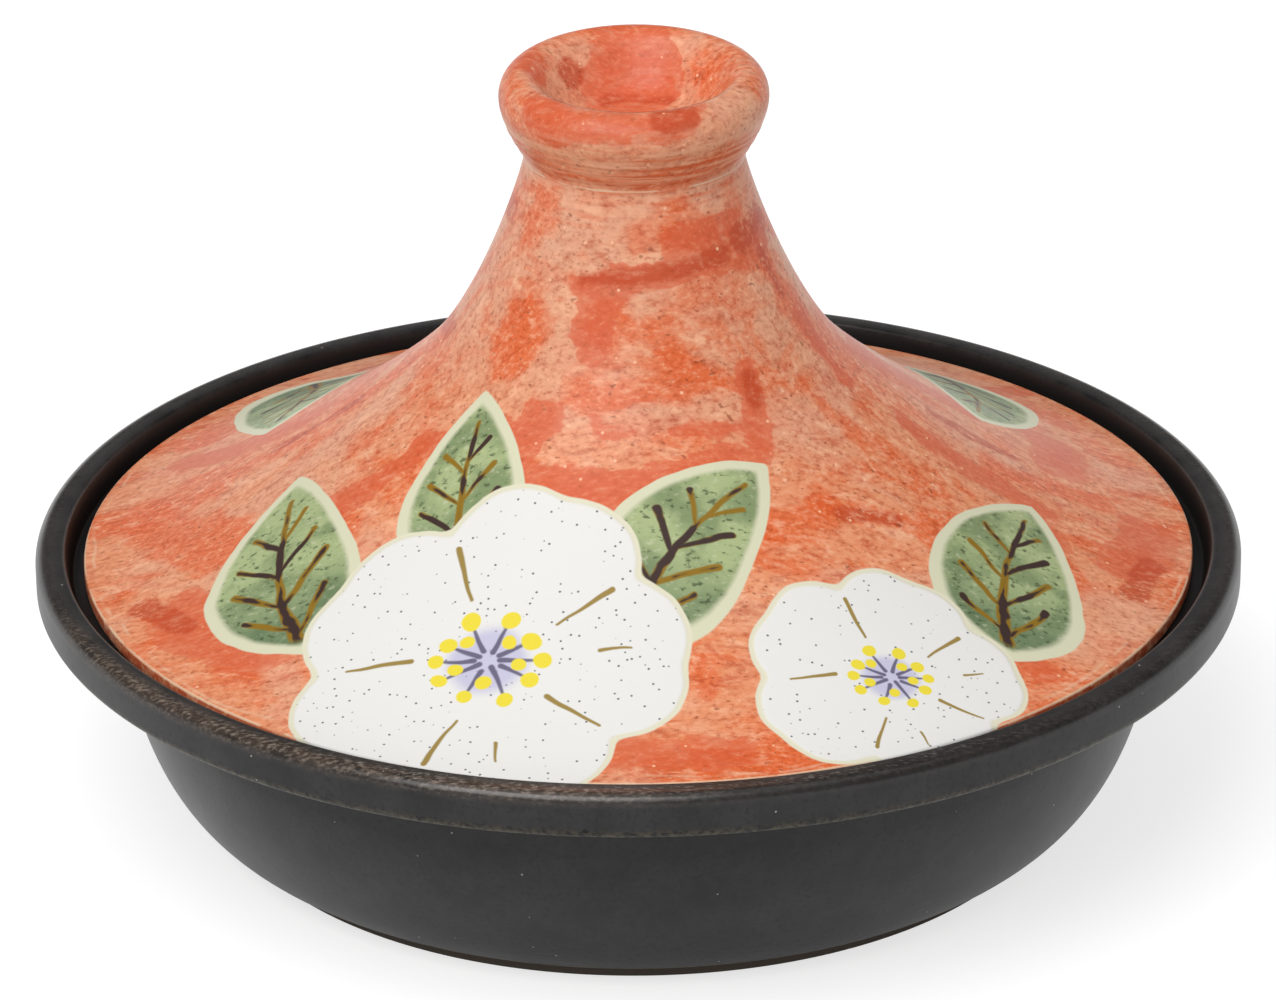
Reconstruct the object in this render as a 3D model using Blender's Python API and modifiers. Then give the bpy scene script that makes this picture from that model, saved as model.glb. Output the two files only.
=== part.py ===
"""A tagine in metres, +Z up: a black-glazed stoneware dish and the tall painted lid that rests in its rim.

Both pieces are turned about Z, as on a potter's wheel. The origin is on the ground, at the centre of the foot ring.
"""

import math

import bpy
from mathutils import Vector
from mathutils.geometry import interpolate_bezier

# Dish: driving dimensions
RIM_RADIUS = 0.125
RIM_WIDTH = 0.006
RIM_BAND = 0.0095
RIM_ROUND = 0.0023
RIM_INNER_ROUND = 0.001
RIM_LEAN = 0.0015
RIM_OVERHANG = 0.0178
DISH_HEIGHT = 0.0587
DISH_WALL = 0.006
SHOULDER_HEIGHT = 0.0367
SHOULDER_REACH = 0.0098
UNDER_RIM_ROUND = 0.0015
LEDGE_DEPTH = 0.0056
LEDGE_ROUND = 0.0015
FOOT_INSET = 0.0209
FOOT_WIDTH = 0.009
FOOT_CHAMFER = 0.0013
FOOT_RECESS = 0.002
BODY_FLARE = math.radians(16)
BODY_REACH = 0.0126

# Lid: driving dimensions, with heights above the ledge it rests on
SEAT_GAP = 0.0003
SEAT_WIDTH = 0.009
LID_CLEARANCE = 0.0025
LID_WALL = 0.0055
EDGE_HEIGHT = 0.0031
EDGE_ROUND = 0.0007
EDGE_SLOPE = math.radians(12)
SKIRT_REACH = 0.0286
WAIST_RADIUS = 0.043
WAIST_HEIGHT = 0.0457
WAIST_SLOPE = math.radians(47.6)
WAIST_REACH_DOWN = 0.0132
WAIST_REACH_UP = 0.0147
NECK_RADIUS = 0.02225
NECK_HEIGHT = 0.0894
NECK_SLOPE = math.radians(77.5)
NECK_REACH = 0.0095
KNOB_RADIUS = 0.0274
KNOB_WIDEST = 0.0124
KNOB_HEIGHT = 0.0178
KNOB_FLARE = math.radians(62)
KNOB_CREST_INSET = 0.0049
CUP_DEPTH = 0.0115
CUP_FLOOR_RADIUS = 0.0095
HOLLOW_ROUND = 0.004

# How far the handles of the knob's curves reach, as a share of each curve's width or rise
CUP_REACH = 0.5
CREST_REACH = 0.33
LIP_REACH = 0.55
FLARE_REACH = 0.33

# Facets: steps round the axis, along a wall's curve, along a curve of the knob and round a corner
TURN_STEPS = 64
WALL_STEPS = 8
KNOB_STEPS = 5
CORNER_STEPS = 2

# Sizes that follow from those above
BODY_RADIUS = RIM_RADIUS - RIM_OVERHANG
FOOT_RADIUS = BODY_RADIUS - FOOT_INSET
LEDGE_RADIUS = RIM_RADIUS - RIM_WIDTH - RIM_LEAN
LEDGE_HEIGHT = DISH_HEIGHT - LEDGE_DEPTH
LID_RADIUS = LEDGE_RADIUS - LID_CLEARANCE


def clear_scene():
    for obj in list(bpy.data.objects):
        bpy.data.objects.remove(obj, do_unlink=True)


def direction(angle):
    """Unit vector in the profile's plane, from an angle above the outward radius."""
    return Vector((math.cos(angle), math.sin(angle)))


def curve(start, start_handle, end_handle, end, steps):
    """Points along one Bezier span of a profile, both ends included."""
    return list(interpolate_bezier(start, start_handle, end_handle, end, steps + 1))


def offset(points, distance):
    """The same outline moved sideways by distance, to the right of the way it runs."""
    moved = []
    for i, point in enumerate(points):
        before = points[max(i - 1, 0)]
        after = points[min(i + 1, len(points) - 1)]
        along = (after - before).normalized()
        moved.append(point + distance * Vector((along.y, -along.x)))
    return moved


def corner(before, point, after, radius):
    """A corner of a profile rounded by an arc that touches both of its sides."""
    to_before = (before - point).normalized()
    to_after = (after - point).normalized()
    half_angle = to_before.angle(to_after) / 2
    setback = radius / math.tan(half_angle)
    centre = point + (to_before + to_after).normalized() * radius / math.sin(half_angle)
    first = point + to_before * setback - centre
    last = point + to_after * setback - centre
    sweep = first.angle_signed(last)
    arc = []
    for i in range(CORNER_STEPS + 1):
        angle = -sweep * i / CORNER_STEPS
        turned = Vector(
            (
                first.x * math.cos(angle) - first.y * math.sin(angle),
                first.x * math.sin(angle) + first.y * math.cos(angle),
            )
        )
        arc.append(centre + turned)
    return arc


def body_curve():
    """Outside of the bowl, from the upright wall down to the foot."""
    shoulder = Vector((BODY_RADIUS, SHOULDER_HEIGHT))
    base = Vector((FOOT_RADIUS + FOOT_CHAMFER, FOOT_CHAMFER))
    return curve(
        shoulder,
        shoulder - Vector((0, SHOULDER_REACH)),
        base + BODY_REACH * direction(BODY_FLARE),
        base,
        WALL_STEPS,
    )


def dish_profile():
    """From the middle of the bowl's floor, over the rim and down to the middle of the base."""
    body = body_curve()
    bowl = offset(body, DISH_WALL)
    bowl.reverse()
    inner_radius = BODY_RADIUS - DISH_WALL
    crest_radius = RIM_RADIUS - RIM_WIDTH
    band_bottom = DISH_HEIGHT - RIM_BAND
    floor = Vector((0, bowl[0].y))
    ledge_in = Vector((inner_radius, LEDGE_HEIGHT))
    ledge_out = Vector((LEDGE_RADIUS, LEDGE_HEIGHT))
    crest_in = Vector((crest_radius, DISH_HEIGHT))
    crest_out = Vector((RIM_RADIUS, DISH_HEIGHT))
    band_low = Vector((RIM_RADIUS, band_bottom))
    under_rim = Vector((BODY_RADIUS, band_bottom))
    return (
        [floor]
        + bowl
        + corner(bowl[-1], ledge_in, ledge_out, LEDGE_ROUND)
        + [ledge_out]
        + corner(ledge_out, crest_in, crest_out, RIM_INNER_ROUND)
        + corner(crest_in, crest_out, band_low, RIM_ROUND)
        + corner(crest_out, band_low, under_rim, RIM_ROUND)
        + corner(band_low, under_rim, body[0], UNDER_RIM_ROUND)
        + body
        + [
            Vector((FOOT_RADIUS, 0)),
            Vector((FOOT_RADIUS - FOOT_WIDTH, 0)),
            Vector((FOOT_RADIUS - FOOT_WIDTH - FOOT_RECESS, FOOT_RECESS)),
            Vector((0, FOOT_RECESS)),
        ]
    )


def knob_curve(neck):
    """Cup, lip and flare of the knob, from the middle of the cup's floor down to the neck."""
    crest = neck.y + KNOB_HEIGHT
    cup_floor = crest - CUP_DEPTH
    crest_point = Vector((KNOB_RADIUS - KNOB_CREST_INSET, crest))
    widest = Vector((KNOB_RADIUS, neck.y + KNOB_WIDEST))
    lip_rise = crest - widest.y
    cup_edge = Vector((CUP_FLOOR_RADIUS, cup_floor))
    cup_width = crest_point.x - cup_edge.x
    cup = curve(
        cup_edge,
        cup_edge + Vector((cup_width * CUP_REACH, 0)),
        crest_point - Vector((cup_width * CREST_REACH, 0)),
        crest_point,
        KNOB_STEPS,
    )
    lip = curve(
        crest_point,
        crest_point + Vector((KNOB_CREST_INSET * LIP_REACH, 0)),
        widest + Vector((0, lip_rise * LIP_REACH)),
        widest,
        KNOB_STEPS,
    )
    flare = curve(
        widest,
        widest - Vector((0, KNOB_WIDEST * FLARE_REACH)),
        neck + direction(KNOB_FLARE) * KNOB_WIDEST * FLARE_REACH,
        neck,
        KNOB_STEPS,
    )
    return [Vector((0, cup_floor))] + cup + lip[1:] + flare[1:]


def skirt_curve(neck, edge):
    """Outside of the lid from the neck, through the waist, down to its edge."""
    waist = Vector((WAIST_RADIUS, WAIST_HEIGHT))
    up_neck = Vector((-math.cos(NECK_SLOPE), math.sin(NECK_SLOPE)))
    up_waist = Vector((-math.cos(WAIST_SLOPE), math.sin(WAIST_SLOPE)))
    up_edge = Vector((-math.cos(EDGE_SLOPE), math.sin(EDGE_SLOPE)))
    cone = curve(
        neck, neck - NECK_REACH * up_neck, waist + WAIST_REACH_UP * up_waist, waist, WALL_STEPS
    )
    skirt = curve(
        waist, waist - WAIST_REACH_DOWN * up_waist, edge + SKIRT_REACH * up_edge, edge, WALL_STEPS
    )
    return cone + skirt[1:]


def lid_profile():
    """From the middle of the knob's cup, down the outside, along the seat and up inside to the hollow's top."""
    neck = Vector((NECK_RADIUS, NECK_HEIGHT))
    edge_top = Vector((LID_RADIUS, SEAT_GAP + EDGE_HEIGHT))
    edge_bottom = Vector((LID_RADIUS, SEAT_GAP))
    knob = knob_curve(neck)
    skirt = skirt_curve(neck, edge_top)
    ceiling = knob[0].y - LID_WALL
    seat_end = edge_bottom - Vector((SEAT_WIDTH, 0))
    hollow = [
        point
        for point in offset(skirt, LID_WALL)
        if SEAT_GAP < point.y < ceiling - HOLLOW_ROUND and point.x < seat_end.x - LID_WALL
    ]
    hollow.reverse()
    return (
        knob
        + skirt[1:-1]
        + corner(skirt[-2], edge_top, edge_bottom, EDGE_ROUND)
        + corner(edge_top, edge_bottom, seat_end, EDGE_ROUND)
        + [seat_end]
        + hollow
        + corner(hollow[-1], Vector((hollow[-1].x, ceiling)), Vector((0, ceiling)), HOLLOW_ROUND)
        + [Vector((0, ceiling))]
    )


def glaze(name, colour, roughness):
    """Material of one glazed piece, with its colour in linear light."""
    material = bpy.data.materials.new(name)
    material.use_nodes = True
    shader = material.node_tree.nodes["Principled BSDF"]
    shader.inputs["Base Color"].default_value = (*colour, 1)
    shader.inputs["Roughness"].default_value = roughness
    shader.inputs["Metallic"].default_value = 0
    return material


def turned(name, profile, material, collection):
    """One solid of revolution about Z from a profile that starts and ends on the axis."""
    mesh = bpy.data.meshes.new(name)
    edges = [(i, i + 1) for i in range(len(profile) - 1)]
    mesh.from_pydata([(point.x, 0, point.y) for point in profile], edges, [])
    mesh.materials.append(material)
    obj = bpy.data.objects.new(name, mesh)
    collection.objects.link(obj)
    screw = obj.modifiers.new("Turn", "SCREW")
    screw.steps = TURN_STEPS
    screw.render_steps = TURN_STEPS
    screw.use_merge_vertices = True
    screw.merge_threshold = 0.00001
    screw.use_smooth_shade = True
    return obj


def main():
    clear_scene()
    collection = bpy.data.collections.new("tagine")
    bpy.context.scene.collection.children.link(collection)
    black_glaze = glaze("black_iron_glaze", (0.035, 0.035, 0.038), 0.42)
    red_glaze = glaze("painted_red_glaze", (0.64, 0.24, 0.13), 0.3)
    turned("dish", dish_profile(), black_glaze, collection)
    lid = turned("lid", lid_profile(), red_glaze, collection)
    lid.location.z = LEDGE_HEIGHT


main()
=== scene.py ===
"""Looks for a tagine: a black-glazed stoneware dish and its tall, hand-painted lid.

Both pieces are turned again here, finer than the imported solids, from their sizes in metres. The
foot is up to 0.9 mm wider than theirs, the knob leans, and its flare has ridges from the wheel.
"""

import math

import bpy
import numpy as np
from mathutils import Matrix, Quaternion, Vector
from mathutils.geometry import interpolate_bezier


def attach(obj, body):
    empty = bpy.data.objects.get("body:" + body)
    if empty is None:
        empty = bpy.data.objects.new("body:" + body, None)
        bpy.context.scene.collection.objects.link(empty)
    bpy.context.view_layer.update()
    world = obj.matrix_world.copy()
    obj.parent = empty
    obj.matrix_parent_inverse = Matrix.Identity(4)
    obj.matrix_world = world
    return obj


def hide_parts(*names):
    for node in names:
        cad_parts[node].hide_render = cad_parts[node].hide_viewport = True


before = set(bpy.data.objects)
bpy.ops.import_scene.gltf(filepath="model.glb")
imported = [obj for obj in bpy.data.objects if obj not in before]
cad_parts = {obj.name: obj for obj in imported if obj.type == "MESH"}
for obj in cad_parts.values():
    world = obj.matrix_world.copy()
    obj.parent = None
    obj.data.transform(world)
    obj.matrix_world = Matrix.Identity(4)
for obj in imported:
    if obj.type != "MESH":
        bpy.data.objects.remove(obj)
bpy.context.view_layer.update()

# The dish: stoneware thrown in one piece, with a thick band rim that overhangs the bowl, a ledge
# inside it for the lid and a low foot trimmed square. Its outline is drawn from the middle of the
# bowl, over the rim and down to the middle of the underside, and spun round the axis.
RIM_RADIUS = 0.125
RIM_WIDTH = 0.006
RIM_BAND = 0.0095
RIM_LEAN = 0.0015
RIM_ROUND = 0.0023
RIM_INNER_ROUND = 0.001
UNDER_RIM_ROUND = 0.0015
REBATE_ROUND = 0.0008
DISH_HEIGHT = 0.0587
DISH_WALL = 0.006
BODY_RADIUS = 0.1072
BODY_FLARE = 15.7
BODY_REACH = 0.0163
SHOULDER_HEIGHT = 0.0367
SHOULDER_REACH = 0.0045
FOOT_RADIUS = 0.0872
FOOT_HEIGHT = 0.0022
FOOT_WIDTH = 0.009
FOOT_RECESS = 0.002
FOOT_STEP = 0.0003
LEDGE_HEIGHT = 0.0531
LEDGE_ROUND = 0.0015
LEDGE_RADIUS = RIM_RADIUS - RIM_WIDTH - RIM_LEAN
DISH_TURNS = 384


def direction(degrees):
    """Unit vector in the outline's plane, from an angle above the outward radius."""
    return Vector((math.cos(math.radians(degrees)), math.sin(math.radians(degrees))))


def curve(start, start_handle, end_handle, end, steps):
    """One smooth span of an outline, both ends included."""
    return list(interpolate_bezier(start, start_handle, end_handle, end, steps + 1))


def inside_of(points, wall):
    """The same outline moved inwards by the wall's thickness."""
    moved = []
    for i, point in enumerate(points):
        before = points[max(i - 1, 0)]
        after = points[min(i + 1, len(points) - 1)]
        along = (after - before).normalized()
        moved.append(point + wall * Vector((along.y, -along.x)))
    return moved


def rounded(before, point, after, radius, steps=6):
    """A corner of an outline, rounded by an arc that touches both of its sides."""
    to_before = (before - point).normalized()
    to_after = (after - point).normalized()
    half_angle = to_before.angle(to_after) / 2
    setback = radius / math.tan(half_angle)
    centre = point + (to_before + to_after).normalized() * radius / math.sin(half_angle)
    first = point + to_before * setback - centre
    last = point + to_after * setback - centre
    sweep = first.angle_signed(last)
    arc = []
    for i in range(steps + 1):
        angle = -sweep * i / steps
        arc.append(
            centre
            + Vector(
                (
                    first.x * math.cos(angle) - first.y * math.sin(angle),
                    first.x * math.sin(angle) + first.y * math.cos(angle),
                )
            )
        )
    return arc


def thrown(name, outline, turns):
    """A piece as it leaves the wheel: an outline drawn point by point and spun round the axis."""
    bpy.ops.object.select_all(action="DESELECT")
    bpy.ops.mesh.primitive_plane_add(size=0.001, location=(0, 0, 0))
    piece = bpy.context.object
    piece.name = piece.data.name = name
    bpy.ops.object.mode_set(mode="EDIT")
    bpy.ops.mesh.select_all(action="SELECT")
    bpy.ops.mesh.merge(type="CENTER")
    bpy.ops.transform.translate(value=(outline[0].x, 0, outline[0].y))
    for before, point in zip(outline, outline[1:]):
        step = (point.x - before.x, 0, point.y - before.y)
        bpy.ops.mesh.extrude_region_move(TRANSFORM_OT_translate={"value": step})
    bpy.ops.mesh.select_all(action="SELECT")
    bpy.ops.mesh.spin(steps=turns, angle=2 * math.pi, center=(0, 0, 0), axis=(0, 0, 1))
    bpy.ops.mesh.select_all(action="SELECT")
    bpy.ops.mesh.remove_doubles(threshold=0.00001)
    bpy.ops.mesh.normals_make_consistent(inside=False)
    bpy.ops.object.mode_set(mode="OBJECT")
    bpy.ops.object.shade_smooth_by_angle(angle=math.radians(40))
    return piece


shoulder = Vector((BODY_RADIUS, SHOULDER_HEIGHT))
base = Vector((FOOT_RADIUS + FOOT_STEP, FOOT_HEIGHT))
body = curve(
    shoulder,
    shoulder - Vector((0, SHOULDER_REACH)),
    base + BODY_REACH * direction(BODY_FLARE),
    base,
    32,
)
bowl = inside_of(body, DISH_WALL)
bowl.reverse()
band_bottom = DISH_HEIGHT - RIM_BAND
ledge_in = Vector((BODY_RADIUS - DISH_WALL, LEDGE_HEIGHT))
ledge_out = Vector((LEDGE_RADIUS, LEDGE_HEIGHT))
crest_in = Vector((RIM_RADIUS - RIM_WIDTH, DISH_HEIGHT))
crest_out = Vector((RIM_RADIUS, DISH_HEIGHT))
band_low = Vector((RIM_RADIUS, band_bottom))
under_rim = Vector((BODY_RADIUS, band_bottom))
foot_out = Vector((FOOT_RADIUS, 0))
foot_in = Vector((FOOT_RADIUS - FOOT_WIDTH, 0))
recess = Vector((FOOT_RADIUS - FOOT_WIDTH - FOOT_RECESS, FOOT_RECESS))
dish = thrown(
    "glazed_dish",
    [Vector((0, bowl[0].y)), Vector((bowl[0].x / 2, bowl[0].y))]
    + bowl
    + rounded(bowl[-1], ledge_in, ledge_out, LEDGE_ROUND)
    + rounded(ledge_in, ledge_out, crest_in, REBATE_ROUND)
    + rounded(ledge_out, crest_in, crest_out, RIM_INNER_ROUND, 8)
    + rounded(crest_in, crest_out, band_low, RIM_ROUND, 10)
    + rounded(crest_out, band_low, under_rim, RIM_ROUND, 10)
    + rounded(band_low, under_rim, body[0], UNDER_RIM_ROUND)
    + body
    + [foot_out, foot_in, recess, Vector((recess.x / 2, FOOT_RECESS)), Vector((0, FOOT_RECESS))],
    DISH_TURNS,
)


def linear(code):
    """An sRGB hex colour as the linear values that a socket takes."""
    levels = [int(code[i : i + 2], 16) / 255 for i in (1, 3, 5)]
    return (*[c / 12.92 if c <= 0.04045 else ((c + 0.055) / 1.055) ** 2.4 for c in levels], 1.0)


def add_node(tree, kind, inputs, out=0, **settings):
    """Adds a node, sets its properties, fills or links its inputs, and returns one output."""
    node = tree.nodes.new(kind)
    for name, value in settings.items():
        setattr(node, name, value)
    for socket, value in inputs.items():
        if isinstance(value, bpy.types.NodeSocket):
            tree.links.new(value, node.inputs[socket])
        else:
            node.inputs[socket].default_value = value
    return node.outputs[out] if node.outputs else node


def new_material(name):
    """An empty node material with its output, and its tree."""
    material = bpy.data.materials.new(name)
    material.use_nodes = True
    material.node_tree.nodes.clear()
    return material, material.node_tree


# Black iron glaze, dipped and fired matt to satin: almost black, with a fine grain and a soft sheen
# where light grazes it. The crest is worn to bronze flecks, most where hands take hold of it, and
# its brown and flecks are lighter at the front left, as a painted sheen; a broken grey line along
# its front is painted glints. Pale specks and pits come from the firing, and a dull beige line
# marks where the glaze ends and also paints the white floor's reflection above the foot.
IRON_BLACK = linear("#1a1919")
IRON_SOFT = linear("#353333")
IRON_THIN = linear("#313030")
BARE_FOOT = linear("#71685f")
BROWN_BREAK_AND_SHEEN = linear("#493c33")
BRONZE_FLECK_AND_GLINT = linear("#a59587")
PAINTED_GLINT_GREY = linear("#bfb8b1")
BAND_OLIVE = linear("#6c6552")
GLAZE_LINE_AND_FLOOR_GLEAM = linear("#b0a28c")
SPECK_PALE = linear("#b4afa7")
PIT_BLACK = linear("#000000")
SPECK_CELLS_A_METRE = 190.0

iron_glaze, tree = new_material("black_iron_glaze")
place = add_node(tree, "ShaderNodeTexCoord", {}, "Object")
split = add_node(tree, "ShaderNodeSeparateXYZ", {"Vector": place}).node
flat = add_node(tree, "ShaderNodeCombineXYZ", {"X": split.outputs["X"], "Y": split.outputs["Y"]})
radius = add_node(tree, "ShaderNodeVectorMath", {0: flat}, "Value", operation="LENGTH")
height = split.outputs["Z"]


def brushed(where, sizes, detail=3.0, roughness=0.55, torn=0.0):
    """Noise whose patches have about the given sizes in mm, long ones along the brush."""
    # A patch of this noise is half a unit long
    mm = 1000 if where == place else 1
    drawn_out = add_node(
        tree,
        "ShaderNodeVectorMath",
        {0: where, 1: tuple(0.5 * mm / size for size in sizes)},
        operation="MULTIPLY",
    )
    return add_node(
        tree,
        "ShaderNodeTexNoise",
        {
            "Vector": drawn_out,
            "Scale": 1.0,
            "Detail": detail,
            "Roughness": roughness,
            "Distortion": torn,
        },
    )


def coat(colour, paint, field, bare, covered, strength=1.0, *weaker):
    """A paint over a colour, from none where the field is at bare to full strength at covered.

    Further amounts weaken it by their product.
    """
    amount = add_node(
        tree,
        "ShaderNodeMapRange",
        {"Value": field, "From Min": bare, "From Max": covered, "To Max": strength},
        interpolation_type="SMOOTHSTEP",
    )
    for share in weaker:
        amount = add_node(tree, "ShaderNodeMath", {0: amount, 1: share}, operation="MULTIPLY")
    return add_node(tree, "ShaderNodeMix", {0: amount, 6: colour, 7: paint}, 2, data_type="RGBA")


def near_ring(ring_radius, ring_height, reach):
    """1 on a ring round the axis, falling to 0 at the given distance from it."""
    sideways = add_node(
        tree, "ShaderNodeMath", {0: radius, 1: ring_radius}, operation="SUBTRACT"
    )
    upwards = add_node(tree, "ShaderNodeMath", {0: height, 1: ring_height}, operation="SUBTRACT")
    pair = add_node(tree, "ShaderNodeCombineXYZ", {"X": sideways, "Y": upwards})
    gap = add_node(tree, "ShaderNodeVectorMath", {0: pair}, "Value", operation="LENGTH")
    return add_node(
        tree,
        "ShaderNodeMapRange",
        {"Value": gap, "From Min": 0.0, "From Max": reach, "To Min": 1.0, "To Max": 0.0},
        interpolation_type="SMOOTHSTEP",
    )


mottle = brushed(place, (5, 5, 5), 5, 0.65)
grit = brushed(place, (0.55, 0.55, 0.55), 2, 0.6)
flecks = brushed(place, (0.7, 0.35, 0.35), 3, 0.6)
cloud = brushed(place, (18, 18, 18), 3, 0.5)
# The front left of the crest, where it is worn most and where its painted sheen lies
HELD_AND_SHEEN_SIDE = (-0.545, -0.839, 0)
held_and_sheen = add_node(
    tree, "ShaderNodeVectorMath", {0: place, 1: HELD_AND_SHEEN_SIDE}, "Value", operation="DOT_PRODUCT"
)
held_and_sheen = add_node(
    tree,
    "ShaderNodeMapRange",
    {"Value": held_and_sheen, "From Min": 0.088, "From Max": 0.119, "To Min": 0.12, "To Max": 1.0},
    interpolation_type="SMOOTHSTEP",
)
towards_front = add_node(
    tree,
    "ShaderNodeMapRange",
    {"Value": split.outputs["Y"], "From Min": -0.085, "From Max": -0.12},
    interpolation_type="SMOOTHSTEP",
)
colour = coat(IRON_BLACK, IRON_SOFT, mottle, 0.15, 0.8)
colour = coat(colour, IRON_THIN, height, 0.02, 0.004)
colour = coat(colour, IRON_BLACK, grit, 0.5, 0.3, 0.6)
# The crest's brown and bronze flecks are worn glaze, made lighter at the front left as a painted
# sheen
inner_ring = near_ring(RIM_RADIUS - RIM_WIDTH + 0.0003, DISH_HEIGHT - 0.0002, 0.0008)
colour = coat(colour, BROWN_BREAK_AND_SHEEN, mottle, 0.36, 0.5, inner_ring, held_and_sheen)
crest_ring = near_ring(RIM_RADIUS - 0.002, DISH_HEIGHT - 0.0006, 0.0032)
colour = coat(colour, BROWN_BREAK_AND_SHEEN, mottle, 0.25, 0.5, crest_ring, held_and_sheen)
colour = coat(colour, BRONZE_FLECK_AND_GLINT, flecks, 0.42, 0.76, crest_ring, held_and_sheen, 0.8)
# A broken grey line along the front of the crest is a painted highlight: glints on the glossy crest
glint_ring = near_ring(RIM_RADIUS - 0.0036, DISH_HEIGHT, 0.0021)
colour = coat(colour, PAINTED_GLINT_GREY, flecks, 0.5, 0.72, glint_ring, towards_front, 0.35)
under_band = near_ring(RIM_RADIUS - 0.001, band_bottom + 0.001, 0.002)
colour = coat(colour, BAND_OLIVE, grit, 0.36, 0.64, under_band, 0.85)
colour = coat(colour, BARE_FOOT, height, FOOT_HEIGHT, FOOT_HEIGHT - 0.0004)
# A dull beige line above the foot, where the glaze ends, is also a painted reflection of the white
# floor
glaze_end_and_gleam = near_ring(FOOT_RADIUS + 0.0042, FOOT_HEIGHT + 0.0014, 0.0018)
colour = coat(colour, GLAZE_LINE_AND_FLOOR_GLEAM, mottle, 0.3, 0.5, glaze_end_and_gleam)
cells = add_node(tree, "ShaderNodeTexVoronoi", {"Vector": place, "Scale": SPECK_CELLS_A_METRE}).node
chosen = add_node(tree, "ShaderNodeSeparateColor", {0: cells.outputs["Color"]})
chosen = add_node(tree, "ShaderNodeMath", {0: chosen, 1: 0.5}, operation="GREATER_THAN")
colour = coat(colour, SPECK_PALE, cells.outputs["Distance"], 0.05, 0.028, chosen)
# A pit and two nicks in the band: degrees round from the front, height, half width, half height
for turn, flaw_height, half_width, half_height in (
    (-4.9, 0.0512, 0.0006, 0.0005),
    (-66, 0.0518, 0.0003, 0.002),
    (-61, 0.0512, 0.0003, 0.0024),
):
    angle = math.radians(turn - 90)
    centre = (RIM_RADIUS * math.cos(angle), RIM_RADIUS * math.sin(angle), flaw_height)
    offset = add_node(tree, "ShaderNodeVectorMath", {0: place, 1: centre}, operation="SUBTRACT")
    size = (1 / half_width, 1 / half_width, 1 / half_height)
    offset = add_node(tree, "ShaderNodeVectorMath", {0: offset, 1: size}, operation="MULTIPLY")
    away = add_node(tree, "ShaderNodeVectorMath", {0: offset}, "Value", operation="LENGTH")
    colour = coat(colour, PIT_BLACK, away, 1.2, 0.8)
sheen = add_node(
    tree,
    "ShaderNodeMapRange",
    {"Value": cloud, "From Min": 0.3, "From Max": 0.7, "To Min": 0.35, "To Max": 0.43},
)
sheen = add_node(
    tree, "ShaderNodeMath", {0: crest_ring, 1: -0.17, 2: sheen}, operation="MULTIPLY_ADD"
)
# Towards the foot, under the band and inside the rim the glaze is thin and dry, and shines least
shine = add_node(
    tree,
    "ShaderNodeMapRange",
    {"Value": height, "From Min": 0.003, "From Max": 0.022, "To Min": 0.0, "To Max": 0.32},
    interpolation_type="SMOOTHSTEP",
)
shaded_inside_rim = near_ring(LEDGE_RADIUS + 0.0007, LEDGE_HEIGHT + 0.0015, 0.005)
# Inside the rim, by the ledge, the glaze is painted black: painted shade in the gap under the lid
colour = coat(colour, IRON_BLACK, shaded_inside_rim, 0.0, 0.6)
for ring, least in ((under_band, 0.15), (shaded_inside_rim, 0.3)):
    dry = add_node(tree, "ShaderNodeMapRange", {"Value": ring, "To Min": 1.0, "To Max": least})
    shine = add_node(tree, "ShaderNodeMath", {0: shine, 1: dry}, operation="MULTIPLY")
# It lies smoothest on the crest, and shines most there
shine = add_node(
    tree, "ShaderNodeMath", {0: crest_ring, 1: 0.45, 2: shine}, operation="MULTIPLY_ADD"
)
relief = add_node(tree, "ShaderNodeBump", {"Height": mottle, "Strength": 0.2, "Distance": 0.0003})
relief = add_node(
    tree,
    "ShaderNodeBump",
    {"Height": grit, "Strength": 0.12, "Distance": 0.0002, "Normal": relief},
)
surface = add_node(
    tree,
    "ShaderNodeBsdfPrincipled",
    {
        "Base Color": colour,
        "Roughness": sheen,
        "IOR": 1.5,
        "Specular IOR Level": shine,
        "Normal": relief,
    },
)
add_node(tree, "ShaderNodeOutputMaterial", {"Surface": surface})
dish.data.materials.append(iron_glaze)
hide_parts("dish")
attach(dish, "dish")

# The lid: stoneware thrown in one piece and hollow up to its knob, with a square edge that drops
# inside the dish's rim, a wide skirt that rises through a waist, and a flared knob, dished on top.
# Its knob leans a little, and its flare keeps faint ridges from the thrower's fingers.
SEAT_GAP = 0.0003
SEAT = LEDGE_HEIGHT + SEAT_GAP
SEAT_WIDTH = 0.009
LID_RADIUS = 0.115
LID_WALL = 0.0055
EDGE_HEIGHT = 0.0031
EDGE_ROUND = 0.0007
HOLLOW_ROUND = 0.004
WAIST = Vector((0.043, LEDGE_HEIGHT + 0.0457))
NECK = Vector((0.02225, LEDGE_HEIGHT + 0.0894))
KNOB_RADIUS = 0.0274
KNOB_WIDEST = 0.0124
KNOB_HEIGHT = 0.0178
KNOB_CREST_INSET = 0.0049
CUP_DEPTH = 0.0115
CUP_FLOOR_RADIUS = 0.0095
KNOB_LEAN = math.radians(2.6)
# How far each curve holds its way before it turns: as shares of the knob's sizes, then in metres
CUP_FLOOR_REACH = 0.5
CUP_WALL_REACH = 0.33
LIP_REACH = 0.55
FLARE_REACH = 0.33
NECK_REACH = 0.0095
WAIST_REACH_UP = 0.0147
WAIST_REACH_DOWN = 0.0132
SKIRT_REACH = 0.0286
# The way of the outline, in degrees above the outward radius
KNOB_FLARE = 62
NECK_SLOPE = 102.5
WAIST_SLOPE = 132.4
EDGE_SLOPE = 168
LID_TURNS = 440
# Each ridge, and last the bead at the neck: how far along the outline it lies, and its height
RIDGES = ((0.0418, 0.00016), (0.044, 0.0002), (0.0462, 0.00016), (0.0492, 0.0004))
RIDGE_REACH = 0.0005

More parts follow.
